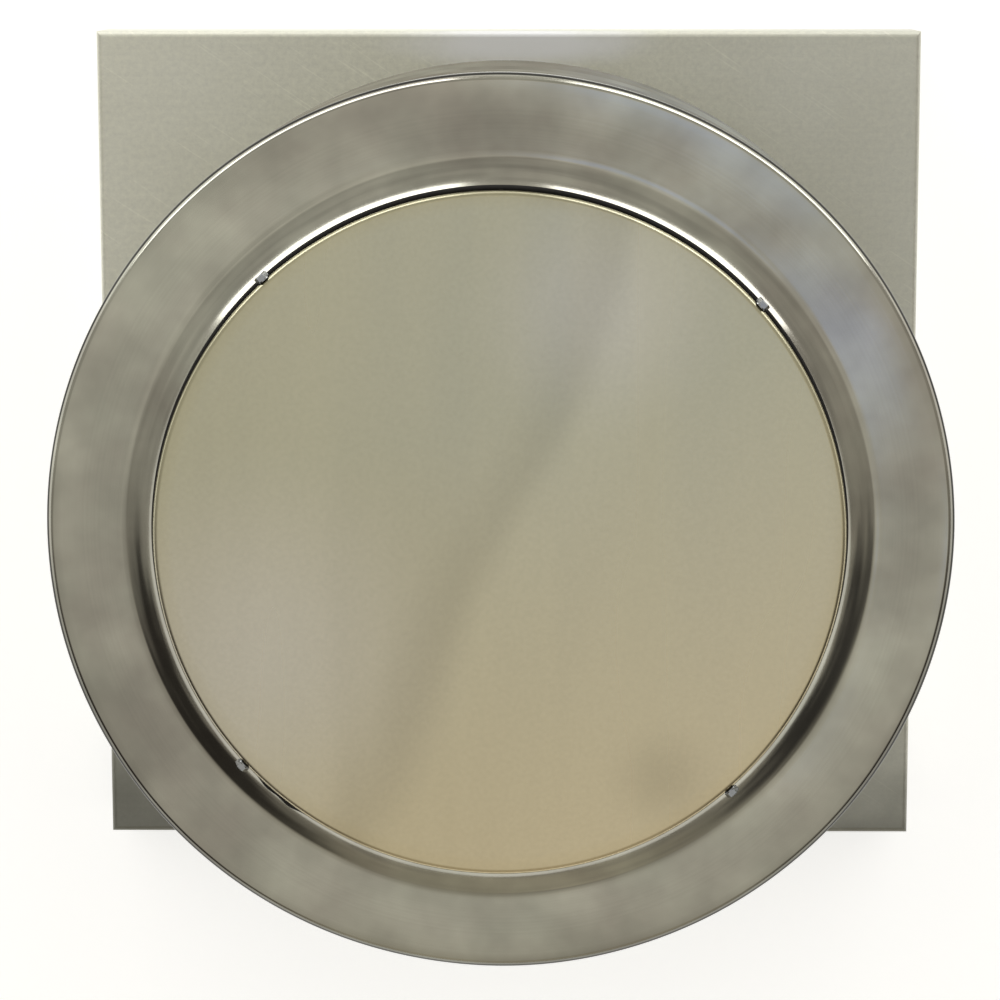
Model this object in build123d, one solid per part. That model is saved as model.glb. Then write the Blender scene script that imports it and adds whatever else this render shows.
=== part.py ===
from build123d import *
from math import atan2, cos, degrees, hypot, radians, sin, sqrt, tan
import os

# Curb cap: a square pan of aluminium sheet, folded down on four sides over the roof curb.
cap_width = 483.0
cap_sheet = 1.3
skirt_height = 51.0
cap_bend = 3.5
corner_seam = 0.8

# Throat collar: a rolled tube with an out-turned foot that is screwed to the cap.
throat_diameter = 304.8
collar_sheet = 1.0
collar_height = 104.0
collar_flange = 22.0

# Bird screen: a flat disc of crossed bars in a rim, lying on the collar's upper edge.
screen_sheet = 1.6
screen_rim = 9.0
screen_bar = 2.4
screen_pitch = 36.0

# Lid: a flat disc with a rounded shoulder and a flange that drops over the top louvre's neck.
lid_diameter = 344.0
lid_sheet = 1.2
lid_shoulder = 3.0
lid_rise = 8.7
lid_clear = 3.6
lid_fit = 0.15

# Louvres: spun rings, each with a brim, a rise and an upright neck.
louver_count = 5
louver_sheet = 1.2
louver_pitch = 45.0
first_louver_height = 124.0
cove_width = 17.3
cove_rise = 12.0
cove_start = 16.0
brim_width = 40.5
brim_slope = 5.0
lip_drop = 8.0
cone_rise = 13.0
neck_straight = 12.0

# Posts: four flat bars that stand on the collar and carry the louvres from inside.
post_width = 18.0
post_thickness = 2.0
post_foot_start = 38.0
post_joggle_below_rim = 26.0
post_joggle_rise = 18.0
post_end_gap = 0.5
post_angle = 42.0
post_count = 4
seat_gap = 0.05

# Fasteners: hexagon-head sheet screws, each shown as the head that stands on its sheet.
screw_across_flats = 6.35
screw_head_height = 3.6
collar_screw_count = 8

# Radii and heights that follow from the sizes above.
throat_radius = throat_diameter / 2
collar_radius = throat_radius + collar_sheet
collar_foot_radius = collar_radius + collar_flange
cap_top = skirt_height
collar_top = cap_top + collar_height
lid_radius = lid_diameter / 2
neck_radius = lid_radius - lid_sheet - lid_fit
neck_inner_radius = neck_radius - louver_sheet
crease_radius = neck_radius + cove_width
head_radius = crease_radius + brim_width
brim_fall = brim_width * tan(radians(brim_slope))
crease_heights = [cap_top + first_louver_height + louver_pitch * i for i in range(louver_count)]
top_crease = crease_heights[-1]
cove_top = top_crease + cove_rise
lid_top = cove_top + lid_rise
lid_underside = lid_top - lid_sheet
lid_flange_end = cove_top + lid_clear
post_face_radius = sqrt(neck_inner_radius**2 - (post_width / 2) ** 2) - seat_gap
post_angles = [post_angle + 360 / post_count * i for i in range(post_count)]


def spin(profile):
    """Turn a face drawn as radius and height about the upright axis."""
    return revolve(Plane.XZ * profile, Axis.Z)


def radial_plane(radius, height):
    """Plane on a vertical wall, facing outward along +X with its own Y upward."""
    return Plane(origin=(radius, 0, height), x_dir=(0, 1, 0), z_dir=(1, 0, 0))


def around(piece, angles):
    """Copy a piece about the upright axis to each angle."""
    return [Rot(0, 0, angle) * piece for angle in angles]


def rounded_pan(width, height, bend):
    """Square block with sharp upright corners and its four upper edges rounded."""
    block = Pos(0, 0, height / 2) * Box(width, width, height)
    return fillet(block.edges().group_by(Axis.Z)[-1], bend)


def make_curb_cap():
    """Folded pan with the throat hole and an open seam at each corner of the skirt."""
    outside = rounded_pan(cap_width, cap_top, cap_bend)
    inside = rounded_pan(cap_width - 2 * cap_sheet, cap_top - cap_sheet, cap_bend - cap_sheet)
    pan = outside - inside - Cylinder(throat_radius, 2 * cap_top + cap_width)
    seam_height = cap_top - cap_bend
    seam = Pos(cap_width / 2, cap_width / 2, seam_height / 2) * Rot(0, 0, 45) * Box(
        4 * cap_bend, corner_seam, seam_height
    )
    return pan - around(seam, [0, 90, 180, 270])


def make_collar():
    """Tube with a foot turned out along the cap."""
    foot_top = cap_top + collar_sheet
    section = Polyline(
        (throat_radius, cap_top),
        (collar_foot_radius, cap_top),
        (collar_foot_radius, foot_top),
        (collar_radius, foot_top),
        (collar_radius, collar_top),
        (throat_radius, collar_top),
        close=True,
    )
    return spin(make_face(section))


def make_screen():
    """Rim and crossed bars, cut from one flat sheet."""
    reach = collar_radius - screen_rim / 2
    side_bars = int(reach / screen_pitch)
    offsets = [screen_pitch * i for i in range(-side_bars, side_bars + 1)]
    bars = Sketch() + [Pos(offset, 0) * Rectangle(screen_bar, 2 * reach) for offset in offsets]
    bars += [Pos(0, offset) * Rectangle(2 * reach, screen_bar) for offset in offsets]
    rim = Circle(collar_radius) - Circle(collar_radius - screen_rim)
    return Pos(0, 0, collar_top) * extrude(rim + (bars & Circle(reach)), screen_sheet)


def make_post():
    """Flat bar, bent outward above its foot and straight up to the lid."""
    foot_x = collar_radius + seat_gap
    upper_x = post_face_radius - post_thickness
    bottom = cap_top + post_foot_start
    bend_low = collar_top - post_joggle_below_rim
    bend_high = bend_low + post_joggle_rise
    top = lid_underside - post_end_gap
    lean = atan2(upper_x - foot_x, post_joggle_rise)
    shift = post_thickness * tan(lean / 2)
    section = Polyline(
        (foot_x, bottom),
        (foot_x, bend_low),
        (upper_x, bend_high),
        (upper_x, top),
        (upper_x + post_thickness, top),
        (upper_x + post_thickness, bend_high - shift),
        (foot_x + post_thickness, bend_low - shift),
        (foot_x + post_thickness, bottom),
        close=True,
    )
    return extrude(Plane.XZ * make_face(section), post_width / 2, both=True)


def lower_corner(fold, outer_slope, inner_slope):
    """Point on a louvre's lower face, straight under a fold between two slopes in degrees."""
    middle = radians((outer_slope + inner_slope) / 2)
    reach = louver_sheet / cos(radians(inner_slope - outer_slope) / 2)
    return (fold[0] - reach * sin(middle), fold[1] - reach * cos(middle))


def make_louver(crease):
    """Lower louvre: conical brim, conical rise and a straight neck, of one sheet thickness."""
    neck_base = crease + cone_rise
    neck_top = neck_base + neck_straight
    cone_slope = degrees(atan2(cone_rise, cove_width))
    brim_edge = crease - brim_fall
    section = Polyline(
        (head_radius, brim_edge),
        (crease_radius, crease),
        (neck_radius, neck_base),
        (neck_radius, neck_top),
        (neck_inner_radius, neck_top),
        lower_corner((neck_radius, neck_base), cone_slope, 90),
        lower_corner((crease_radius, crease), brim_slope, cone_slope),
        (head_radius, brim_edge - louver_sheet / cos(radians(brim_slope))),
        close=True,
    )
    return spin(make_face(section))


def make_top_louver():
    """Top louvre: lipped brim, a crease, and a hollow cove that steepens up to the neck."""
    crease = (crease_radius, top_crease)
    neck_fold = (neck_radius, cove_top)
    brim_fold = (head_radius, top_crease - brim_fall)
    lip_end = brim_fold[1] - lip_drop
    mean_slope = degrees(atan2(cove_rise, cove_width))
    cove_end = 2 * mean_slope - cove_start
    cove_radius = hypot(cove_width, cove_rise) / 2 / sin(radians(mean_slope - cove_start))
    centre_radius = crease_radius + cove_radius * sin(radians(cove_start))
    centre_height = top_crease + cove_radius * cos(radians(cove_start))
    lean = (sin(radians(mean_slope)), cos(radians(mean_slope)))
    lower_radius = cove_radius + louver_sheet
    crease_under = lower_corner(crease, brim_slope, cove_start)
    neck_under = lower_corner(neck_fold, cove_end, 90)
    upper_cove = ThreePointArc(
        crease,
        (centre_radius - cove_radius * lean[0], centre_height - cove_radius * lean[1]),
        neck_fold,
    )
    lower_cove = ThreePointArc(
        neck_under,
        (centre_radius - lower_radius * lean[0], centre_height - lower_radius * lean[1]),
        crease_under,
    )
    neck = Polyline(neck_fold, (neck_radius, lid_underside), (neck_inner_radius, lid_underside), neck_under)
    brim = Polyline(
        crease_under,
        lower_corner(brim_fold, brim_slope, 90),
        (head_radius - louver_sheet, lip_end),
        (head_radius, lip_end),
        brim_fold,
        crease,
    )
    return spin(make_face([upper_cove, neck, lower_cove, brim]))


def make_lid():
    """Flat disc with a rounded shoulder and a downward flange."""
    flange_inner = lid_radius - lid_sheet
    section = make_face(
        Polyline(
            (0, lid_top),
            (lid_radius, lid_top),
            (lid_radius, lid_flange_end),
            (flange_inner, lid_flange_end),
            (flange_inner, lid_underside),
            (0, lid_underside),
            close=True,
        )
    )
    rim = section.vertices().sort_by_distance((lid_radius, lid_top))[0]
    return spin(fillet(rim, lid_shoulder))


def screw_head(seat):
    """Hexagon head that stands on a plane, with one flat along the plane's own X."""
    hexagon = RegularPolygon(screw_across_flats / 2, 6, major_radius=False)
    return extrude(seat * hexagon, screw_head_height)


def make_collar_screws():
    """Screws through the collar's foot into the cap."""
    seat = Plane((collar_radius + collar_flange / 2, 0, cap_top + collar_sheet))
    step = 360 / collar_screw_count
    return around(screw_head(seat), [step * (i + 0.5) for i in range(collar_screw_count)])


def make_post_screws():
    """Two screws through each post's foot into the collar."""
    bottom = cap_top + post_foot_start
    foot_length = collar_top - post_joggle_below_rim - bottom
    face = collar_radius + seat_gap + post_thickness
    heights = [bottom + foot_length * share for share in (0.25, 0.7)]
    heads = [screw_head(radial_plane(face, height)) for height in heights]
    return [copy for head in heads for copy in around(head, post_angles)]


def make_louver_screws():
    """One screw through each lower louvre's neck at each post."""
    heads = []
    for crease in crease_heights[:-1]:
        seat = radial_plane(neck_radius, crease + cone_rise + neck_straight / 2)
        heads += around(screw_head(seat), post_angles)
    return heads


def make_lid_screws():
    """One screw through the lid's flange and the top louvre's neck at each post."""
    seat = radial_plane(lid_radius, (lid_flange_end + lid_top) / 2 - lid_shoulder / 4)
    return around(screw_head(seat), post_angles)


nodes = {
    "curb_cap": make_curb_cap(),
    "collar": make_collar(),
    "collar_screws": Compound(make_collar_screws()),
    "bird_screen": make_screen(),
    "post_screws": Compound(make_post_screws()),
    "louver_screws": Compound(make_louver_screws()),
    "top_louver": make_top_louver(),
    "top_lid": make_lid(),
    "lid_screws": Compound(make_lid_screws()),
}
for i, post in enumerate(around(make_post(), post_angles), start=1):
    nodes[f"post_{i}"] = post
for i, crease in enumerate(crease_heights[:-1], start=1):
    nodes[f"louver_{i}"] = make_louver(crease)

os.makedirs("parts", exist_ok=True)
for name, solid in nodes.items():
    export_step(solid, f"parts/{name}.step")
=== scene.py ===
import bmesh
import bpy
from math import atan2, cos, degrees, pi, radians, sin, tan
from mathutils import Matrix, Vector


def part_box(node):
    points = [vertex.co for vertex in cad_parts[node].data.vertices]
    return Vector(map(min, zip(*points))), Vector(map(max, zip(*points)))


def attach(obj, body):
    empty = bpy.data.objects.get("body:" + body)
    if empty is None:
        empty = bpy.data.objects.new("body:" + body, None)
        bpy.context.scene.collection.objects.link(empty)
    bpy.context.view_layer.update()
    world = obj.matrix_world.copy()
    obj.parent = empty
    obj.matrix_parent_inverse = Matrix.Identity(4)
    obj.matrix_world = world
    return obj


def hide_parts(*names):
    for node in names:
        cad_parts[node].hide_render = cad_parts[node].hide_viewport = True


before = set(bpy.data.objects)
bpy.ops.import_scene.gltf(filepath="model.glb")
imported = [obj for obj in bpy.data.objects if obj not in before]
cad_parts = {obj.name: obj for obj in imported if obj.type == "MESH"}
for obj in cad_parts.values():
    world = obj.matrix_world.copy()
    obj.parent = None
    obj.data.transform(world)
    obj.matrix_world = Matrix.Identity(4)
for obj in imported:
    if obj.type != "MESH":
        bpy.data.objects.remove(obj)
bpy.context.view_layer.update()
# Sizes are written in millimetres, and the frame is in metres.
MM = 0.001


# Curb cap: a square pan of rolled aluminium sheet, folded down on all four sides so that it
# drops over the roof curb. The sheet keeps the dull face it left the mill with.
def linear(hex_colour):
    """An sRGB colour such as "A8A490", as linear red, green, blue and alpha."""
    channels = [int(hex_colour[i:i + 2], 16) / 255 for i in (0, 2, 4)]
    return [c / 12.92 if c <= 0.04045 else ((c + 0.055) / 1.055) ** 2.4 for c in channels] + [1.0]


def add(tree, kind, inputs=None, **settings):
    """Add a node with its settings; an input takes a value or the socket that feeds it."""
    node = tree.nodes.new("ShaderNode" + kind)
    for key, value in settings.items():
        setattr(node, key, value)
    for key, value in (inputs or {}).items():
        if isinstance(value, bpy.types.NodeSocket):
            tree.links.new(value, node.inputs[key])
        else:
            node.inputs[key].default_value = value
    return node


def empty_material(name):
    """A new material with no nodes in it, and its tree."""
    material = bpy.data.materials.new(name)
    material.use_nodes = True
    material.node_tree.nodes.clear()
    return material, material.node_tree


def mill_finish_rolled_aluminium():
    """Rolled sheet as it left the mill: a fine cloudy grain and faint lines along the roll."""
    material, tree = empty_material("mill_finish_rolled_aluminium")
    place = add(tree, "TexCoord").outputs["Object"]
    cloud = add(tree, "TexNoise", {"Vector": place, "Scale": 1 / (70 * MM), "Detail": 3.0})
    grain = add(tree, "TexNoise", {"Vector": place, "Scale": 1 / (3.2 * MM), "Detail": 4.0, "Roughness": 0.7})
    along_roll = add(tree, "Mapping", {
        "Vector": place, "Scale": (1 / (90 * MM), 1 / (1.6 * MM), 1 / (90 * MM))})
    roll = add(tree, "TexNoise", {"Vector": along_roll.outputs[0], "Scale": 1.0, "Detail": 2.0})
    tone = add(tree, "Mix", {0: cloud.outputs[0], 6: linear("D6D5C8"), 7: linear("E2E2D7")}, data_type="RGBA")
    fleck = add(tree, "MapRange", {0: grain.outputs[0], 1: 0.3, 2: 0.7, 3: 0.96, 4: 1.12})
    streak = add(tree, "MapRange", {0: roll.outputs[0], 1: 0.3, 2: 0.7, 3: 0.985, 4: 1.015})
    shade = add(tree, "Math", {0: fleck.outputs[0], 1: streak.outputs[0]}, operation="MULTIPLY")
    # The side away from the windows is painted darker, with an uneven edge: painted shade.
    aside = add(tree, "VectorMath", {0: place, 1: (0.07, 0.998, 0)}, operation="DOT_PRODUCT")
    edge = add(tree, "Math", {0: cloud.outputs[0], 1: 90 * MM, 2: aside.outputs["Value"]},
               operation="MULTIPLY_ADD")
    painted_far_side_shade = add(tree, "MapRange", {0: edge.outputs[0], 1: -205 * MM, 2: -85 * MM, 3: 0.32, 4: 1.0},
                interpolation_type="SMOOTHSTEP")
    shade = add(tree, "Math", {0: shade.outputs[0], 1: painted_far_side_shade.outputs[0]}, operation="MULTIPLY")
    # It is also painted lighter toward one side and darker toward the other: painted light and shade.
    sideways = add(tree, "VectorMath", {0: place, 1: (1, 0, 0)}, operation="DOT_PRODUCT")
    painted_side_light = add(tree, "MapRange", {
        0: sideways.outputs["Value"], 1: -240 * MM, 2: 240 * MM, 3: 1.15, 4: 0.95})
    shade = add(tree, "Math", {0: shade.outputs[0], 1: painted_side_light.outputs[0]}, operation="MULTIPLY")
    # Hair scratches from sheets that were slid over one another in the stack show as thin pale lines.
    along_slide = add(tree, "Mapping", {"Vector": place, "Rotation": (0, 0, radians(-34)),
                                        "Scale": (34 * MM, 1.0 * MM, 34 * MM)}, vector_type="TEXTURE")
    slide = add(tree, "TexNoise", {"Vector": along_slide.outputs[0], "Scale": 1.0, "Detail": 0.0})
    scratch = add(tree, "MapRange", {0: slide.outputs[0], 1: 0.74, 2: 0.83, 3: 1.0, 4: 1.08})
    shade = add(tree, "Math", {0: shade.outputs[0], 1: scratch.outputs[0]}, operation="MULTIPLY")
    colour = add(tree, "VectorMath", {0: tone.outputs[2], "Scale": shade.outputs[0]}, operation="SCALE")
    # The middle of the side across from the painted shade has a pale painted glare, a painted reflection.
    offset = add(tree, "VectorMath", {0: place, 1: GLARE_CENTRE}, operation="SUBTRACT")
    offset = add(tree, "VectorMath", {0: offset.outputs[0], 1: GLARE_SIZE}, operation="DIVIDE")
    away = add(tree, "VectorMath", {0: offset.outputs[0]}, operation="LENGTH")
    ragged = add(tree, "Math", {0: cloud.outputs[0], 1: 0.8, 2: away.outputs["Value"]},
                 operation="MULTIPLY_ADD")
    painted_reflection = add(tree, "MapRange", {0: ragged.outputs[0], 1: 0.6, 2: 1.4, 3: 0.9, 4: 0.0},
              interpolation_type="SMOOTHSTEP")
    colour = add(tree, "Mix", {0: painted_reflection.outputs[0], 6: colour.outputs[0], 7: linear("FAFBFF")},
                 data_type="RGBA")
    rough = add(tree, "MapRange", {0: grain.outputs[0], 1: 0.3, 2: 0.7, 3: 0.46, 4: 0.58})
    relief = add(tree, "Bump", {"Height": grain.outputs[0], "Strength": 0.25, "Distance": 0.05 * MM})
    sheet = add(tree, "BsdfPrincipled", {
        "Base Color": colour.outputs[2], "Metallic": 0.8, "Roughness": rough.outputs[0],
        "Normal": relief.outputs[0]})
    add(tree, "OutputMaterial", {"Surface": sheet.outputs[0]})
    return material


def dress(node_name, material):
    """Give a solid that stays in view its finish."""
    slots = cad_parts[node_name].data.materials
    slots.clear()
    slots.append(material)


# Centre and size of the pale painted glare on the cap.
GLARE_CENTRE = (10 * MM, 234 * MM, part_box("curb_cap")[1].z)
GLARE_SIZE = (100 * MM, 18 * MM, 12 * MM)
rolled_sheet = mill_finish_rolled_aluminium()
dress("curb_cap", rolled_sheet)


# Throat collar: sheet rolled into a tube, with its lower edge turned out as a foot on the cap.
# The bend between tube and foot has the small radius that the turning wheel leaves.
def arc(centre_r, centre_z, radius, start, end, steps):
    """Points along an arc of a section, with angles in degrees."""
    angles = [radians(start + (end - start) * i / steps) for i in range(steps + 1)]
    return [(centre_r + radius * cos(a), centre_z + radius * sin(a)) for a in angles]


def sheet_section(path, thickness):
    """Close a line drawn along one face of a sheet with the other face, to its right."""
    under = []
    for i, (r, z) in enumerate(path):
        r0, z0 = path[max(i - 1, 0)]
        r1, z1 = path[min(i + 1, len(path) - 1)]
        before = Vector((z - z0, r0 - r)).normalized()
        after = Vector((z1 - z, r - r1)).normalized()
        if i == 0:
            side = after
        elif i == len(path) - 1:
            side = before
        else:
            side = (before + after) / (1 + before.dot(after))
        under.append((r + thickness * side.x, z + thickness * side.y))
    return path + under[::-1]


def finish_mesh(name, mesh_maker, material, nodes, edge_angle=35):
    """Make an object of a built mesh, with its finish, its body and the solids it stands for."""
    mesh = bpy.data.meshes.new(name)
    bmesh.ops.recalc_face_normals(mesh_maker, faces=mesh_maker.faces)
    mesh_maker.to_mesh(mesh)
    mesh_maker.free()
    mesh.polygons.foreach_set("use_smooth", [True] * len(mesh.polygons))
    mesh.set_sharp_from_angle(angle=radians(edge_angle))
    mesh.materials.append(material)
    piece = bpy.data.objects.new(name, mesh)
    bpy.context.scene.collection.objects.link(piece)
    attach(piece, "root")
    if nodes:
        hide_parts(*nodes)
    return piece


def skin(maker, lower, upper):
    """Faces between two closed rings of corners."""
    count = len(lower)
    for i in range(count):
        j = (i + 1) % count
        maker.faces.new((lower[i], lower[j], upper[j], upper[i]))


def spun(section, steps, lift=None):
    """Turn a closed section about the upright axis; lift gives a small unevenness in height."""
    maker = bmesh.new()
    rings = []
    for s in range(steps):
        a = 2 * pi * s / steps
        ring = []
        for r, z in section:
            rise = lift(r, a) if lift else 0.0
            ring.append(maker.verts.new((r * cos(a), r * sin(a), z + rise)))
        rings.append(ring)
    for s in range(steps):
        skin(maker, rings[s], rings[(s + 1) % steps])
    bmesh.ops.remove_doubles(maker, verts=maker.verts, dist=0.001 * MM)
    return maker


ROUND_STEPS = 288
COLLAR_SHEET = 1.0 * MM
COLLAR_BEND = 3.0 * MM
BEND_STEPS = 8
RAW_EDGE = 4.0 * MM
collar_low, collar_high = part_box("collar")
collar_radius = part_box("bird_screen")[1].x
foot_top = collar_low.z + COLLAR_SHEET
collar_path = [(collar_radius, collar_high.z), (collar_radius, collar_high.z - RAW_EDGE)]
collar_path += arc(collar_radius + COLLAR_BEND, foot_top + COLLAR_BEND, COLLAR_BEND, 180, 270, BEND_STEPS)
collar_path += [(collar_high.x, foot_top)]
finish_mesh("throat_collar", spun(sheet_section(collar_path, COLLAR_SHEET), ROUND_STEPS),
            rolled_sheet, ["collar"])


# Bird screen: welded wire cloth in a flat rim, lying on the collar's upper edge.
# The wires run in two layers, and their zinc coat has gone dull.
def galvanised_wire():
    """Hot-dipped wire: pale grey zinc, mottled and fairly dull."""
    material, tree = empty_material("galvanised_wire")
    place = add(tree, "TexCoord").outputs["Object"]
    spangle = add(tree, "TexNoise", {"Vector": place, "Scale": 1 / (3.0 * MM), "Detail": 3.0})
    tone = add(tree, "Mix", {0: spangle.outputs[0], 6: linear("8F9090"), 7: linear("B2B3B0")},
               data_type="RGBA")
    rough = add(tree, "MapRange", {0: spangle.outputs[0], 1: 0.3, 2: 0.7, 3: 0.40, 4: 0.58})
    wire = add(tree, "BsdfPrincipled", {
        "Base Color": tone.outputs[2], "Metallic": 1.0, "Roughness": rough.outputs[0]})
    add(tree, "OutputMaterial", {"Surface": wire.outputs[0]})
    return material


WIRE_PITCH = 12.7 * MM
WIRE_SIDES = 8
RIM_WIDTH = 9.0 * MM
screen_low, screen_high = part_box("bird_screen")
wire_radius = (screen_high.z - screen_low.z) / 4
rim_inner = screen_high.x - RIM_WIDTH
screen = spun([(rim_inner, screen_low.z), (screen_high.x, screen_low.z),
               (screen_high.x, screen_high.z), (rim_inner, screen_high.z)], ROUND_STEPS)
wire_reach = rim_inner + RIM_WIDTH / 2
wires_each_side = int(rim_inner / WIRE_PITCH)
for layer, turn in enumerate((0, 90)):
    for k in range(-wires_each_side, wires_each_side + 1):
        offset = WIRE_PITCH * k
        length = 2 * (wire_reach ** 2 - offset ** 2) ** 0.5
        height = screen_low.z + wire_radius * (1 + 2 * layer)
        where = (Matrix.Rotation(radians(turn), 4, "Z") @ Matrix.Translation((0, offset, height))
                 @ Matrix.Rotation(radians(90), 4, "Y"))
        bmesh.ops.create_cone(screen, cap_ends=True, segments=WIRE_SIDES, radius1=wire_radius,
                              radius2=wire_radius, depth=length, matrix=where)
finish_mesh("wire_screen", screen, galvanised_wire(), ["bird_screen"])


# Posts: four flat aluminium bars, bent outward above the foot that is screwed to the collar,
# and straight from there up to the lid. They carry every louvre from inside its neck.
def drawn_bar_aluminium():
    """Flat bar from the drawing die: even grey with fine lines along its length."""
    material, tree = empty_material("drawn_bar_aluminium")
    place = add(tree, "TexCoord").outputs["Object"]
    along_bar = add(tree, "Mapping", {
        "Vector": place, "Scale": (1 / (0.8 * MM), 1 / (0.8 * MM), 1 / (60 * MM))})
    line = add(tree, "TexNoise", {"Vector": along_bar.outputs[0], "Scale": 1.0, "Detail": 2.0})
    tone = add(tree, "Mix", {0: line.outputs[0], 6: linear("A9A99F"), 7: linear("C2C2B9")}, data_type="RGBA")
    rough = add(tree, "MapRange", {0: line.outputs[0], 1: 0.3, 2: 0.7, 3: 0.34, 4: 0.46})
    bar = add(tree, "BsdfPrincipled", {
        "Base Color": tone.outputs[2], "Metallic": 1.0, "Roughness": rough.outputs[0]})
    add(tree, "OutputMaterial", {"Surface": bar.outputs[0]})
    return material


def rounded_path(points, radius, steps):
    """Replace each inner corner of a path by a tangent arc."""
    path = [points[0]]
    for a, b, c in zip(points, points[1:], points[2:]):
        corner = Vector(b)
        back = (Vector(a) - corner).normalized()
        ahead = (Vector(c) - corner).normalized()
        half = back.angle(ahead) / 2
        middle = corner + (back + ahead).normalized() * radius / sin(half)
        start = corner + back * radius / tan(half) - middle
        end = corner + ahead * radius / tan(half) - middle
        sweep = start.angle_signed(end)
        for i in range(steps + 1):
            spoke = start.copy()
            spoke.rotate(Matrix.Rotation(-sweep * i / steps, 2))
            path.append(tuple(middle + spoke))
    return path + [points[-1]]


POST_WIDTH = 18.0 * MM
POST_THICKNESS = 2.0 * MM
POST_SEAT_GAP = 0.05 * MM
POST_JOGGLE_BELOW_RIM = 26.0 * MM
POST_JOGGLE_RISE = 18.0 * MM
POST_BEND = 5.0 * MM
FOLD_STEPS = 6
bar_finish = drawn_bar_aluminium()
for name in ("post_1", "post_2", "post_3", "post_4"):
    low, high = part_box(name)
    middle = (low + high) / 2
    angle = atan2(middle.y, middle.x)
    reach = max(v.co.x * cos(angle) + v.co.y * sin(angle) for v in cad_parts[name].data.vertices)
    foot_face = collar_radius + POST_SEAT_GAP + POST_THICKNESS
    bend_low = collar_high.z - POST_JOGGLE_BELOW_RIM
    route = rounded_path([(reach, high.z), (reach, bend_low + POST_JOGGLE_RISE),
                          (foot_face, bend_low), (foot_face, low.z)], POST_BEND, FOLD_STEPS)
    section = sheet_section(route, POST_THICKNESS)
    maker = bmesh.new()
    across = Vector((-sin(angle), cos(angle), 0)) * (POST_WIDTH / 2)
    out = Vector((cos(angle), sin(angle), 0))
    left = [maker.verts.new(out * r + Vector((0, 0, z)) - across) for r, z in section]
    right = [maker.verts.new(out * r + Vector((0, 0, z)) + across) for r, z in section]
    count = len(section)
    skin(maker, left, right)
    for side in (left, right):
        for i in range(count // 2 - 1):
            maker.faces.new((side[i], side[i + 1], side[count - 2 - i], side[count - 1 - i]))
    finish_mesh(f"upright_{name}", maker, bar_finish, [name])


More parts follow.
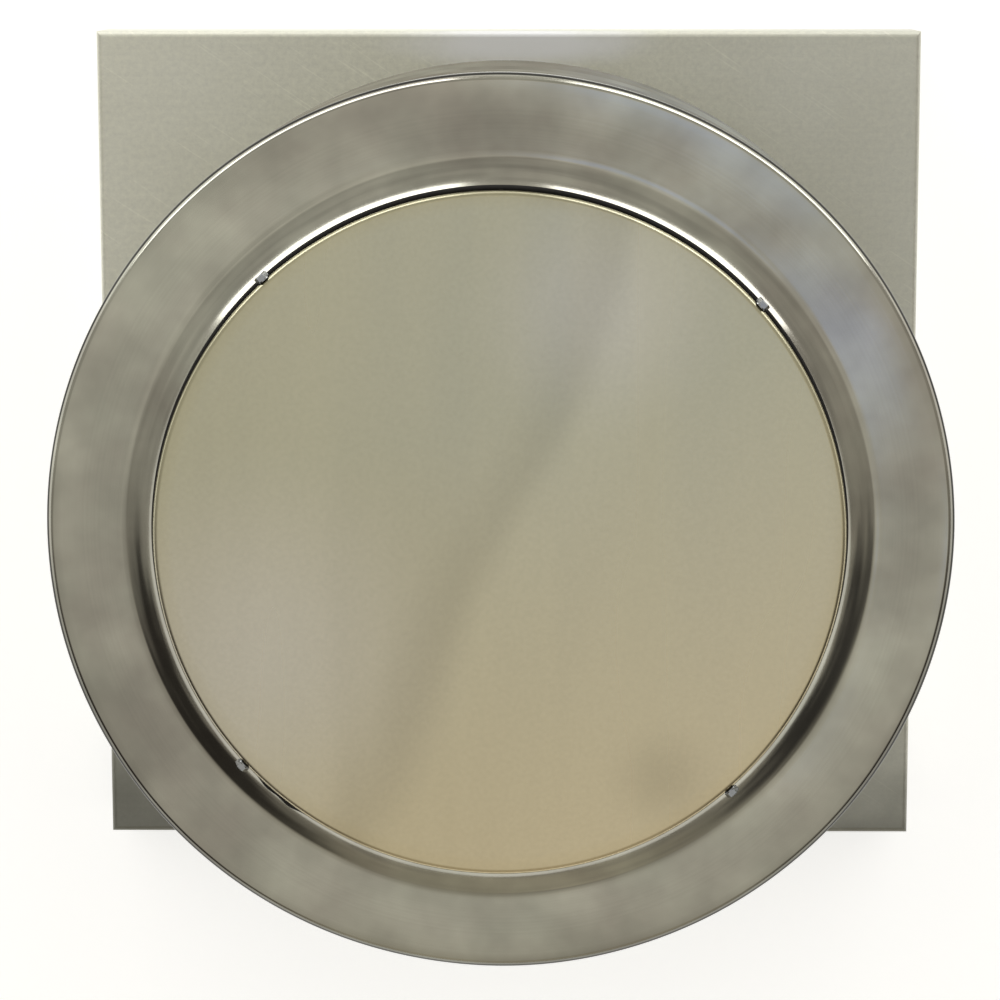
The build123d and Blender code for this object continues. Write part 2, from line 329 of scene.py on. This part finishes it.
# Lower louvres: rings spun from sheet over a former, each with a sloping brim, a rise and a
# neck that is screwed to the posts. Turning leaves fine rings round the metal.
def spun_aluminium():
    """Sheet pressed round a former by a roller: fine rings, soft waves and a mottled grey skin."""
    material, tree = empty_material("spun_aluminium")
    place = add(tree, "TexCoord").outputs["Object"]
    flat = add(tree, "VectorMath", {0: place, 1: (1, 1, 0)}, operation="MULTIPLY")
    radius = add(tree, "VectorMath", {0: flat.outputs[0]}, operation="LENGTH")
    split = add(tree, "SeparateXYZ", {0: place})
    along = add(tree, "Math", {0: radius.outputs["Value"], 1: split.outputs["Z"]}, operation="SUBTRACT")
    # The roller's rings lie under half a millimetre apart, and are drawn three times as coarse to show.
    ring = add(tree, "TexNoise", {"W": along.outputs[0], "Scale": 1 / (1.3 * MM), "Detail": 2.0},
               noise_dimensions="1D")
    wave = add(tree, "TexNoise", {"Vector": place, "Scale": 1 / (46 * MM), "Detail": 0.5})
    cloud = add(tree, "TexNoise", {"Vector": place, "Scale": 1 / (80 * MM), "Detail": 4.0, "Roughness": 0.6})
    mottle = add(tree, "TexNoise", {"Vector": place, "Scale": 1 / (24 * MM), "Detail": 2.0, "Roughness": 0.5})
    film = add(tree, "MapRange", {0: cloud.outputs[0], 1: 0.32, 2: 0.68, 3: 0.0, 4: 1.0})
    tone = add(tree, "Mix", {0: film.outputs[0], 6: linear("AAA69C"), 7: linear("BFBFB2")}, data_type="RGBA")
    fleck = add(tree, "MapRange", {0: ring.outputs[0], 1: 0.3, 2: 0.7, 3: 0.985, 4: 1.015})
    patchy = add(tree, "MapRange", {0: mottle.outputs[0], 1: 0.32, 2: 0.68, 3: 0.92, 4: 1.07})
    blotch = add(tree, "MapRange", {0: wave.outputs[0], 1: 0.3, 2: 0.7, 3: 0.90, 4: 1.08})
    shade = add(tree, "Math", {0: fleck.outputs[0], 1: blotch.outputs[0]}, operation="MULTIPLY")
    shade = add(tree, "Math", {0: shade.outputs[0], 1: patchy.outputs[0]}, operation="MULTIPLY")
    # A dark line round the rolled lip, wider and darker on one side, is painted shade.
    one_side = add(tree, "MapRange", {0: split.outputs["Y"], 1: -80 * MM, 2: 60 * MM, 3: 1.0, 4: 0.0},
                   interpolation_type="SMOOTHSTEP")
    reach = add(tree, "Math", {0: one_side.outputs[0], 1: 0.4 * MM, 2: radius.outputs["Value"]},
                operation="MULTIPLY_ADD")
    line = add(tree, "MapRange", {
        0: reach.outputs[0], 1: head_radius - 1.45 * MM, 2: head_radius - 1.0 * MM, 3: 0.0, 4: 0.92},
        interpolation_type="SMOOTHSTEP")
    shaded_side = add(tree, "MapRange", {
        0: radius.outputs["Value"], 1: head_radius - 3.0 * MM, 2: head_radius - 2.4 * MM, 3: 0.0, 4: 0.5},
        interpolation_type="SMOOTHSTEP")
    shaded_side = add(tree, "Math", {0: shaded_side.outputs[0], 1: one_side.outputs[0]}, operation="MULTIPLY")
    painted_lip_shade = add(tree, "Math", {0: line.outputs[0], 1: shaded_side.outputs[0]}, operation="MAXIMUM")
    on_roll = add(tree, "MapRange", {
        0: split.outputs["Z"], 1: top_low.z + 3.0 * MM, 2: top_low.z + 4.6 * MM, 3: 0.0, 4: 1.0},
        interpolation_type="SMOOTHSTEP")
    painted_lip_shade = add(tree, "Math", {0: painted_lip_shade.outputs[0], 1: on_roll.outputs[0]}, operation="MULTIPLY")
    unshaded = add(tree, "Math", {0: 1.0, 1: painted_lip_shade.outputs[0]}, operation="SUBTRACT")
    shade = add(tree, "Math", {0: shade.outputs[0], 1: unshaded.outputs[0]}, operation="MULTIPLY")
    colour = add(tree, "VectorMath", {0: tone.outputs[2], "Scale": shade.outputs[0]}, operation="SCALE")
    rough = add(tree, "MapRange", {0: cloud.outputs[0], 1: 0.3, 2: 0.7, 3: 0.12, 4: 0.18})
    lines = add(tree, "Bump", {"Height": ring.outputs[0], "Strength": 0.12, "Distance": 0.04 * MM})
    swell = add(tree, "Bump", {"Height": wave.outputs[0], "Strength": 0.5, "Distance": 1.0 * MM,
                               "Normal": lines.outputs[0]})
    around = add(tree, "Tangent", direction_type="RADIAL", axis="Z")
    metal = add(tree, "BsdfPrincipled", {
        "Base Color": colour.outputs[0], "Metallic": 1.0, "Roughness": rough.outputs[0],
        "Anisotropic": 0.35, "Tangent": around.outputs[0], "Normal": swell.outputs[0]})
    add(tree, "OutputMaterial", {"Surface": metal.outputs[0]})
    return material


LOUVER_SHEET = 1.2 * MM
LID_SHEET = 1.2 * MM
LID_FIT = 0.15 * MM
COVE_WIDTH = 17.3 * MM
CONE_RISE = 13.0 * MM
NECK_STRAIGHT = 12.0 * MM
BRIM_SLOPE = radians(5.0)
FOLD_RADIUS = 4.0 * MM
lid_low, lid_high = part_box("top_lid")
neck_radius = lid_high.x - LID_SHEET - LID_FIT
crease_radius = neck_radius + COVE_WIDTH
top_low, top_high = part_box("top_louver")
head_radius = top_high.x
brim_fall = (head_radius - crease_radius) * tan(BRIM_SLOPE)
spun_metal = spun_aluminium()
for name in ("louver_1", "louver_2", "louver_3", "louver_4"):
    neck_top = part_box(name)[1].z
    neck_base = neck_top - NECK_STRAIGHT
    crease = neck_base - CONE_RISE
    path = rounded_path([(neck_radius, neck_top), (neck_radius, neck_base), (crease_radius, crease),
                         (head_radius, crease - brim_fall)], FOLD_RADIUS, FOLD_STEPS)
    finish_mesh(f"spun_{name}", spun(sheet_section(path, LOUVER_SHEET), ROUND_STEPS), spun_metal,
                [name])


# Top louvre: the spun ring that shows from above, with a lip turned down at the rim, a crease
# inside the brim and a hollow cove that sweeps up to the neck under the lid.
LIP_DROP = 8.0 * MM
# The lip is rolled in three turns, each with its slope at the start and end in degrees, and its radius.
LIP_ROLL = ((degrees(BRIM_SLOPE), 42.0, 2.6 * MM), (42.0, 50.0, 18.0 * MM), (50.0, 90.0, 3.0 * MM))
COVE_RISE = 12.0 * MM
COVE_START = radians(16.0)
COVE_STEPS = 16
BRIM_STEPS = 10
BRIM_RIPPLE = 0.35 * MM
BRIM_CROWN = 1.4 * MM
top_crease = top_low.z + LIP_DROP + brim_fall
cove_top = top_crease + COVE_RISE
cove_half = atan2(COVE_RISE, COVE_WIDTH) - COVE_START
cove_radius = Vector((COVE_WIDTH, COVE_RISE)).length / 2 / sin(cove_half)
cove_centre_r = crease_radius + cove_radius * sin(COVE_START)
cove_centre_z = top_crease + cove_radius * cos(COVE_START)
cove_end = COVE_START + 2 * cove_half
lip_width = sum(bend * (sin(radians(end)) - sin(radians(start))) for start, end, bend in LIP_ROLL)
lip_r = head_radius - lip_width
lip_z = top_crease - (lip_r - crease_radius) * tan(BRIM_SLOPE)
brim_start, brim_end = Vector((crease_radius, top_crease)), Vector((lip_r, lip_z))
top_path = [(neck_radius, top_high.z)]
top_path += arc(cove_centre_r, cove_centre_z, cove_radius, 270 - degrees(cove_end), 270 - degrees(COVE_START),
                COVE_STEPS)
top_path += [tuple(brim_start.lerp(brim_end, i / BRIM_STEPS)) for i in range(1, BRIM_STEPS)]
top_path += [(lip_r, lip_z)]
for start, end, bend in LIP_ROLL:
    centre_r = lip_r - bend * sin(radians(start))
    centre_z = lip_z - bend * cos(radians(start))
    top_path += arc(centre_r, centre_z, bend, 90 - start, 90 - end, FOLD_STEPS)[1:]
    lip_r, lip_z = top_path[-1]
top_path += [(head_radius, top_low.z)]


def brim_unevenness(r, a):
    """Spinning leaves the brim slightly crowned and wavy, and the neck true."""
    share = min(max((r - crease_radius) / (head_radius - crease_radius), 0), 1)
    ripple = 0.6 * sin(5 * a + 0.7) + 0.4 * sin(9 * a + 2.1) + 0.25 * sin(14 * a + 4.0)
    return BRIM_RIPPLE * share * ripple + BRIM_CROWN * share * (1 - share)


finish_mesh("spun_top_louver", spun(sheet_section(top_path, LOUVER_SHEET), 2 * ROUND_STEPS, brim_unevenness),
            spun_metal, ["top_louver"])


# Lid: a flat disc of rolled sheet whose rim is turned down over the top louvre's neck, with a
# rounded shoulder. It is thin, so the flat sags and swells a little.
def rolled_aluminium_painted_reflections():
    """Rolled sheet: satin, warm grey, with painted sheen in two places, a painted reflected streak and a
    painted dark reflection.
    """
    material, tree = empty_material("rolled_aluminium_painted_reflections")
    place = add(tree, "TexCoord").outputs["Object"]
    cloud = add(tree, "TexNoise", {"Vector": place, "Scale": 1 / (110 * MM), "Detail": 3.0})
    grain = add(tree, "TexNoise", {"Vector": place, "Scale": 1 / (2.2 * MM), "Detail": 3.0})
    along_roll = add(tree, "Mapping", {"Vector": place, "Rotation": (0, 0, radians(-12)),
                                       "Scale": (1 / (48 * MM), 1 / (420 * MM), 1.0)})
    band = add(tree, "TexNoise", {"Vector": along_roll.outputs[0], "Scale": 1.0, "Detail": 2.0})
    # The sheet is painted a little yellower and paler toward one side: a painted warm reflection.
    aside = add(tree, "VectorMath", {0: place, 1: (0.25, -0.97, 0)}, operation="DOT_PRODUCT")
    painted_warm_sheen = add(tree, "MapRange", {0: aside.outputs["Value"], 1: -60 * MM, 2: 185 * MM, 3: 0.0, 4: 1.0})
    tone = add(tree, "Mix", {0: painted_warm_sheen.outputs[0], 6: linear("C4BFA3"), 7: linear("D8C9A6")},
               data_type="RGBA").outputs[2]
    # Two places are painted greyer and a little paler: painted sheen.
    for centre, sheen_reach, strength in LID_SHEENS:
        from_sheen = add(tree, "VectorMath", {0: place, 1: (*centre, lid_high.z)}, operation="DISTANCE")
        sheen = add(tree, "MapRange", {
            0: from_sheen.outputs["Value"], 1: 0.0, 2: sheen_reach, 3: strength, 4: 0.0},
            interpolation_type="SMOOTHSTEP")
        tone = add(tree, "Mix", {0: sheen.outputs[0], 6: tone, 7: linear("D3CDBD")},
                   data_type="RGBA").outputs[2]
    fleck = add(tree, "MapRange", {0: grain.outputs[0], 1: 0.3, 2: 0.7, 3: 0.975, 4: 1.02})
    wash = add(tree, "MapRange", {0: band.outputs[0], 1: 0.35, 2: 0.65, 3: 0.95, 4: 1.04})
    # A painted reflected streak runs right across the lid, dark along one edge and pale along the other.
    across_reflection = add(tree, "VectorMath", {0: place, 1: (0.944, -0.329, 0)}, operation="DOT_PRODUCT")
    bend = add(tree, "TexNoise", {"Vector": place, "Scale": 1 / (190 * MM), "Detail": 0.0})
    waver = add(tree, "MapRange", {0: bend.outputs[0], 1: 0.3, 2: 0.7, 3: -14 * MM, 4: 14 * MM})
    reflection_place = add(tree, "Math", {0: across_reflection.outputs["Value"], 1: waver.outputs[0]}, operation="ADD")
    dark_edge = add(tree, "MapRange", {0: reflection_place.outputs[0], 1: -34 * MM, 2: -8 * MM, 3: 0.0, 4: 1.0},
                    interpolation_type="SMOOTHSTEP")
    pale_edge = add(tree, "MapRange", {0: reflection_place.outputs[0], 1: -8 * MM, 2: 12 * MM, 3: 1.0, 4: -0.5},
                    interpolation_type="SMOOTHSTEP")
    fading = add(tree, "MapRange", {0: reflection_place.outputs[0], 1: 12 * MM, 2: 62 * MM, 3: 1.0, 4: 0.0},
                 interpolation_type="SMOOTHSTEP")
    painted_reflection = add(tree, "Math", {0: dark_edge.outputs[0], 1: pale_edge.outputs[0]}, operation="MULTIPLY")
    painted_reflection = add(tree, "Math", {0: painted_reflection.outputs[0], 1: fading.outputs[0]}, operation="MULTIPLY")
    # A painted dark reflection lies in one place.
    from_dark_reflection = add(tree, "VectorMath", {0: place, 1: (82 * MM, -122 * MM, lid_high.z)},
                      operation="DISTANCE")
    dark_reflection = add(tree, "MapRange", {0: from_dark_reflection.outputs["Value"], 1: 0.0, 2: 34 * MM, 3: 0.15, 4: 0.0},
                 interpolation_type="SMOOTHSTEP")
    reflection_marks = add(tree, "Math", {0: painted_reflection.outputs[0], 1: -0.085, 2: 1.0}, operation="MULTIPLY_ADD")
    reflection_marks = add(tree, "Math", {0: reflection_marks.outputs[0], 1: dark_reflection.outputs[0]}, operation="SUBTRACT")
    shade = add(tree, "Math", {0: fleck.outputs[0], 1: wash.outputs[0]}, operation="MULTIPLY")
    shade = add(tree, "Math", {0: shade.outputs[0], 1: reflection_marks.outputs[0]}, operation="MULTIPLY")
    colour = add(tree, "VectorMath", {0: tone, "Scale": shade.outputs[0]}, operation="SCALE")
    rough = add(tree, "MapRange", {0: band.outputs[0], 1: 0.3, 2: 0.7, 3: 0.22, 4: 0.28})
    relief = add(tree, "Bump", {"Height": grain.outputs[0], "Strength": 0.15, "Distance": 0.04 * MM})
    sheet = add(tree, "BsdfPrincipled", {
        "Base Color": colour.outputs[0], "Metallic": 1.0, "Roughness": rough.outputs[0],
        "Normal": relief.outputs[0]})
    add(tree, "OutputMaterial", {"Surface": sheet.outputs[0]})
    return material


def lid_sag(r, a):
    """Thin flat sheet held at its rim: a shallow, uneven swell."""
    share = 1 - (r / lid_high.x) ** 2
    return -LID_SAG * share * (0.7 + 0.3 * (1 - share) * sin(2 * a + 0.6)) if r < flat_edge else 0.0


LID_SHOULDER = 3.0 * MM
LID_SAG = 0.8 * MM
# Centre, reach and strength of each painted sheen.
LID_SHEENS = (((-125 * MM, -60 * MM), 120 * MM, 0.85), ((50 * MM, 115 * MM), 75 * MM, 0.6))
FLAT_RINGS = 24
flat_edge = lid_high.x - LID_SHOULDER
lid_path = [(flat_edge * i / FLAT_RINGS, lid_high.z) for i in range(FLAT_RINGS)]
lid_path += arc(flat_edge, lid_high.z - LID_SHOULDER, LID_SHOULDER, 90, 0, BEND_STEPS)
lid_path += [(lid_high.x, lid_low.z)]
finish_mesh("lid_disc", spun(sheet_section(lid_path, LID_SHEET), 2 * ROUND_STEPS, lid_sag),
            rolled_aluminium_painted_reflections(), ["top_lid"])


# Sealant: a bead of butyl mastic pressed into the joint under the lid's edge, a little off centre.
# Its dark line is painted shade in the gap under the lid's edge, widest on the side it is shifted to, and
# some of it has squeezed out on one side.
def skinned_butyl_mastic():
    """Old mastic: almost black, with a dull skin that has drawn into small wrinkles."""
    material, tree = empty_material("skinned_butyl_mastic")
    place = add(tree, "TexCoord").outputs["Object"]
    wrinkle = add(tree, "TexNoise", {"Vector": place, "Scale": 1 / (2.0 * MM), "Detail": 3.0})
    tone = add(tree, "Mix", {0: wrinkle.outputs[0], 6: linear("0E0D0D"), 7: linear("24211E")},
               data_type="RGBA")
    relief = add(tree, "Bump", {"Height": wrinkle.outputs[0], "Strength": 0.6, "Distance": 0.3 * MM})
    mastic = add(tree, "BsdfPrincipled", {
        "Base Color": tone.outputs[2], "Roughness": 0.62, "Specular IOR Level": 0.3,
        "Normal": relief.outputs[0]})
    add(tree, "OutputMaterial", {"Surface": mastic.outputs[0]})
    return material


BEAD_RADIUS = 1.6 * MM
BEAD_INSET = 0.3 * MM
BEAD_LIFT = 0.4 * MM
# Shifting the bead toward one side widens its dark line there: painted shade.
BEAD_SHADE_SHIFT = 1.1 * MM
BEAD_SIDES = 12
BEAD_STEPS = 3 * ROUND_STEPS
SQUEEZE_WIDTH = 2.8 * MM
SQUEEZE_ANGLE = radians(231.0)
SQUEEZE_SPREAD = radians(7.5)
bead_r = lid_high.x - BEAD_INSET
bead_z = cove_top + BEAD_LIFT
bead = bmesh.new()
bead_rings = []
for s in range(BEAD_STEPS):
    a = 2 * pi * s / BEAD_STEPS
    away = (a - SQUEEZE_ANGLE) / SQUEEZE_SPREAD
    squeeze = SQUEEZE_WIDTH * max(0.0, 1 - away ** 2) * (0.86 + 0.14 * sin(70 * a))
    ring = []
    for r, z in arc(bead_r, bead_z, BEAD_RADIUS, 0, 360 - 360 / BEAD_SIDES, BEAD_SIDES - 1):
        out = r + squeeze * max(0.0, (r - bead_r) / BEAD_RADIUS)
        ring.append(bead.verts.new((out * cos(a), out * sin(a) + BEAD_SHADE_SHIFT, z)))
    bead_rings.append(ring)
for s in range(BEAD_STEPS):
    skin(bead, bead_rings[s], bead_rings[(s + 1) % BEAD_STEPS])
finish_mesh("lid_sealant", bead, skinned_butyl_mastic(), [], edge_angle=60)


# Screws: hexagon-head sheet-metal screws of zinc-plated steel, driven through the sheets into
# the posts and through the collar's foot into the cap.
def zinc_plated_steel():
    """Cold-headed steel with a zinc coat: bluish grey, mottled and half bright."""
    material, tree = empty_material("zinc_plated_steel")
    place = add(tree, "TexCoord").outputs["Object"]
    mottle = add(tree, "TexNoise", {"Vector": place, "Scale": 1 / (1.5 * MM), "Detail": 3.0})
    tone = add(tree, "Mix", {0: mottle.outputs[0], 6: linear("8E9092"), 7: linear("BCBEBE")},
               data_type="RGBA")
    rough = add(tree, "MapRange", {0: mottle.outputs[0], 1: 0.3, 2: 0.7, 3: 0.22, 4: 0.34})
    steel = add(tree, "BsdfPrincipled", {
        "Base Color": tone.outputs[2], "Metallic": 1.0, "Roughness": rough.outputs[0]})
    add(tree, "OutputMaterial", {"Surface": steel.outputs[0]})
    return material


SCREW_FLATS = 6.35 * MM
SCREW_HEIGHT = 3.6 * MM
SCREW_CHAMFER = 0.45 * MM
WASHER_HEIGHT = 0.7 * MM
WASHER_STEPS = 24
HEX_SIDES = 6
CROWN_INSET = 1.6 * SCREW_CHAMFER
DIMPLE_SHARE = 0.5
DIMPLE_DEPTH = 0.05 * MM
zinc_steel = zinc_plated_steel()


def solid_centres(node_name):
    """Centre of each separate head in a group, by gathering corners that lie close together."""
    groups = []
    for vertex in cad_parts[node_name].data.vertices:
        home = next((g for g in groups if (g[0] - vertex.co).length < 2 * SCREW_FLATS), None)
        if home is None:
            groups.append([vertex.co.copy()])
        else:
            home.append(vertex.co.copy())
    centres = []
    for group in groups:
        low = Vector([min(p[k] for p in group) for k in range(3)])
        high = Vector([max(p[k] for p in group) for k in range(3)])
        centres.append((low + high) / 2)
    return centres


def ring_of(maker, where, sides, radius, height, turn=0.0):
    """A ring of corners round a screw's axis."""
    points = []
    for i in range(sides):
        a = 2 * pi * i / sides + turn
        points.append(maker.verts.new(where @ Vector((radius * cos(a), radius * sin(a), height))))
    return points


def add_screw(maker, where):
    """One head: a round washer face, six flats, a chamfered crown and a shallow dimple."""
    corner = SCREW_FLATS / 2 / cos(pi / HEX_SIDES)
    washer_low = ring_of(maker, where, WASHER_STEPS, SCREW_FLATS / 2, 0.0)
    washer_high = ring_of(maker, where, WASHER_STEPS, SCREW_FLATS / 2, WASHER_HEIGHT)
    skin(maker, washer_low, washer_high)
    maker.faces.new(washer_high)
    flats_low = ring_of(maker, where, HEX_SIDES, corner, WASHER_HEIGHT)
    flats_high = ring_of(maker, where, HEX_SIDES, corner, SCREW_HEIGHT - SCREW_CHAMFER)
    crown = ring_of(maker, where, HEX_SIDES, corner - CROWN_INSET, SCREW_HEIGHT)
    dimple = ring_of(maker, where, HEX_SIDES, corner * DIMPLE_SHARE, SCREW_HEIGHT - DIMPLE_DEPTH)
    skin(maker, flats_low, flats_high)
    skin(maker, flats_high, crown)
    skin(maker, crown, dimple)
    maker.faces.new(dimple)


for node_name, upright in (("collar_screws", True), ("post_screws", False),
                           ("louver_screws", False), ("lid_screws", False)):
    maker = bmesh.new()
    for centre in solid_centres(node_name):
        out = Vector((0, 0, 1)) if upright else Vector((centre.x, centre.y, 0)).normalized()
        up = Vector((1, 0, 0)) if upright else Vector((0, 0, 1))
        side = up.cross(out)
        turned = Matrix((side, up, out)).transposed().to_4x4()
        add_screw(maker, Matrix.Translation(centre - out * SCREW_HEIGHT / 2) @ turned)
    finish_mesh(f"hex_{node_name}", maker, zinc_steel, [node_name], edge_angle=20)


# Floor: a wide sheet of white studio paper under the vent, which takes its shadow.
# Seen from below it is clear, so that the underside of the vent can be looked at.
def matt_white_paper():
    """Studio paper: white and matt; it also shows as white to the eye and in reflections."""
    material, tree = empty_material("matt_white_paper")
    place = add(tree, "TexCoord").outputs["Object"]
    fibre = add(tree, "TexNoise", {"Vector": place, "Scale": 1 / (4 * MM), "Detail": 2.0})
    tone = add(tree, "Mix", {0: fibre.outputs[0], 6: linear("F0F0EE"), 7: linear("F6F6F5")}, data_type="RGBA")
    path = add(tree, "LightPath")
    seen = add(tree, "Math", {0: path.outputs["Is Camera Ray"], 1: path.outputs["Is Glossy Ray"]},
               operation="MAXIMUM")
    seen = add(tree, "Math", {0: seen.outputs[0], 1: path.outputs["Is Transmission Ray"]},
               operation="MAXIMUM")
    glow = add(tree, "Math", {0: seen.outputs[0], 1: PAPER_GLOW}, operation="MULTIPLY")
    paper = add(tree, "BsdfPrincipled", {
        "Base Color": tone.outputs[2], "Roughness": 0.9, "Specular IOR Level": 0.1,
        "Emission Color": linear("FFFFFF"), "Emission Strength": glow.outputs[0]})
    from_below = add(tree, "NewGeometry").outputs["Backfacing"]
    clear = add(tree, "BsdfTransparent")
    sheet = add(tree, "MixShader", {0: from_below, 1: paper.outputs[0], 2: clear.outputs[0]})
    add(tree, "OutputMaterial", {"Surface": sheet.outputs[0]})
    return material


PAPER_GLOW = 0.60
FLOOR_SIZE = 40.0
floor_maker = bmesh.new()
bmesh.ops.create_grid(floor_maker, x_segments=1, y_segments=1, size=FLOOR_SIZE / 2)
floor_mesh = bpy.data.meshes.new("paper_floor")
floor_maker.to_mesh(floor_mesh)
floor_maker.free()
floor_mesh.materials.append(matt_white_paper())
floor = bpy.data.objects.new("paper_floor", floor_mesh)
bpy.context.scene.collection.objects.link(floor)


# Light: a soft room that is a little brighter on one side, with two wide, low windows there. The
# windows show as white lines along the lip and the cove, and two dark doorways as dark streaks.
world = bpy.data.worlds.new("soft_room")
bpy.context.scene.world = world
world.use_nodes = True
room = world.node_tree
room.nodes.clear()
compass = add(room, "TexCoord").outputs["Generated"]
direction = add(room, "SeparateXYZ", {0: compass})
sideways = add(room, "VectorMath", {0: compass, 1: (-0.22, 0.97, 0)}, operation="DOT_PRODUCT")
toward_light = add(room, "MapRange", {0: sideways.outputs["Value"], 1: -0.75, 2: 0.75, 3: 0.0, 4: 1.0},
                   interpolation_type="SMOOTHSTEP")
overhead = add(room, "MapRange", {0: direction.outputs["Z"], 1: 0.76, 2: 0.94, 3: 0.0, 4: 1.0},
               interpolation_type="SMOOTHSTEP")
wall = add(room, "Mix", {0: toward_light.outputs[0], 6: linear("9E998F"), 7: linear("BDBBB3")},
           data_type="RGBA")
whole = add(room, "Mix", {0: overhead.outputs[0], 6: wall.outputs[2], 7: linear("DAD7CE")}, data_type="RGBA")
unevenness = add(room, "TexNoise", {"Vector": compass, "Scale": 5.0, "Detail": 2.0})
uneven = add(room, "MapRange", {0: unevenness.outputs[0], 1: 0.35, 2: 0.65, 3: 0.80, 4: 1.15})
view = add(room, "VectorMath", {0: whole.outputs[2], "Scale": uneven.outputs[0]},
           operation="SCALE").outputs[0]
# Places in the room that the metal mirrors: azimuth, height and reach in degrees, colour and strength.
ROOM_PLACES = {
    "pale_wall": (270, 24, 34, "B8B1A0", 0.9),
    "left_doorway": (220, 25, 32, "302D2A", 0.97),
    "right_doorway": (322, 24, 30, "343231", 0.96),
    "skylight": (-4, 81, 8, "D8E4FF", 0.8),
}
RAGGEDNESS = 0.3
for azimuth, elevation, reach, hue, share in ROOM_PLACES.values():
    a, e = radians(azimuth), radians(elevation)
    aim = add(room, "VectorMath", {0: compass, 1: (cos(a) * cos(e), sin(a) * cos(e), sin(e))},
              operation="DOT_PRODUCT")
    ragged = add(room, "Math", {0: unevenness.outputs[0], 1: RAGGEDNESS, 2: aim.outputs["Value"]},
                 operation="MULTIPLY_ADD")
    nearness = add(room, "Math", {0: ragged.outputs[0], 1: RAGGEDNESS / 2}, operation="SUBTRACT")
    patch = add(room, "MapRange", {
        0: nearness.outputs[0], 1: cos(radians(reach)), 2: cos(radians(reach / 3)), 3: 0.0, 4: share},
        interpolation_type="SMOOTHSTEP")
    view = add(room, "Mix", {0: patch.outputs[0], 6: view, 7: linear(hue)}, data_type="RGBA").outputs[2]
shine = add(room, "Background", {"Color": view, "Strength": 1.0})
add(room, "OutputWorld", {"Surface": shine.outputs[0]})

WINDOWS = {"window_left": 124.0, "window_right": 55.0}
WINDOW_DISTANCE = 3.0
WINDOW_CENTRE = 0.70
WINDOW_WIDTH = 2.9
WINDOW_HEIGHT = 0.65
WINDOW_POWER = 21.0
LIT_HEIGHT = 0.35
for name, azimuth in WINDOWS.items():
    light = bpy.data.lights.new(name, "AREA")
    light.shape = "RECTANGLE"
    light.size = WINDOW_WIDTH
    light.size_y = WINDOW_HEIGHT
    light.energy = WINDOW_POWER
    lamp = bpy.data.objects.new(name, light)
    a = radians(azimuth)
    spot = Vector((WINDOW_DISTANCE * cos(a), WINDOW_DISTANCE * sin(a), WINDOW_CENTRE))
    aim = Vector((0, 0, LIT_HEIGHT)) - spot
    lamp.matrix_world = Matrix.Translation(spot) @ aim.to_track_quat("-Z", "Y").to_matrix().to_4x4()
    bpy.context.scene.collection.objects.link(lamp)


# Camera: almost straight above the vent and a little toward its far side, as in the photograph.
# Its lens is long and shifted, so that the head stays nearly round and the cap nearly square.
CAMERA_SPOT = Vector((27.26, 284.97, 1911.2)) * MM
CAMERA_TILT = 0.1522
CAMERA_YAW = 0.0073
CAMERA_SHIFT = (-0.0318, -0.06)
FOCAL_PIXELS = 3156.4
PICTURE_PIXELS = 1000
camera_data = bpy.data.cameras.new("camera")
camera_data.sensor_fit = "HORIZONTAL"
camera_data.sensor_width = 36.0
camera_data.lens = camera_data.sensor_width * FOCAL_PIXELS / PICTURE_PIXELS
camera_data.shift_x, camera_data.shift_y = CAMERA_SHIFT
camera = bpy.data.objects.new("camera", camera_data)
turn = Matrix.Rotation(CAMERA_YAW, 4, "Y") @ Matrix.Rotation(-CAMERA_TILT, 4, "X")
camera.matrix_world = Matrix.Translation(CAMERA_SPOT) @ turn
bpy.context.scene.collection.objects.link(camera)
bpy.context.scene.camera = camera
bpy.context.scene.view_settings.view_transform = "Standard"
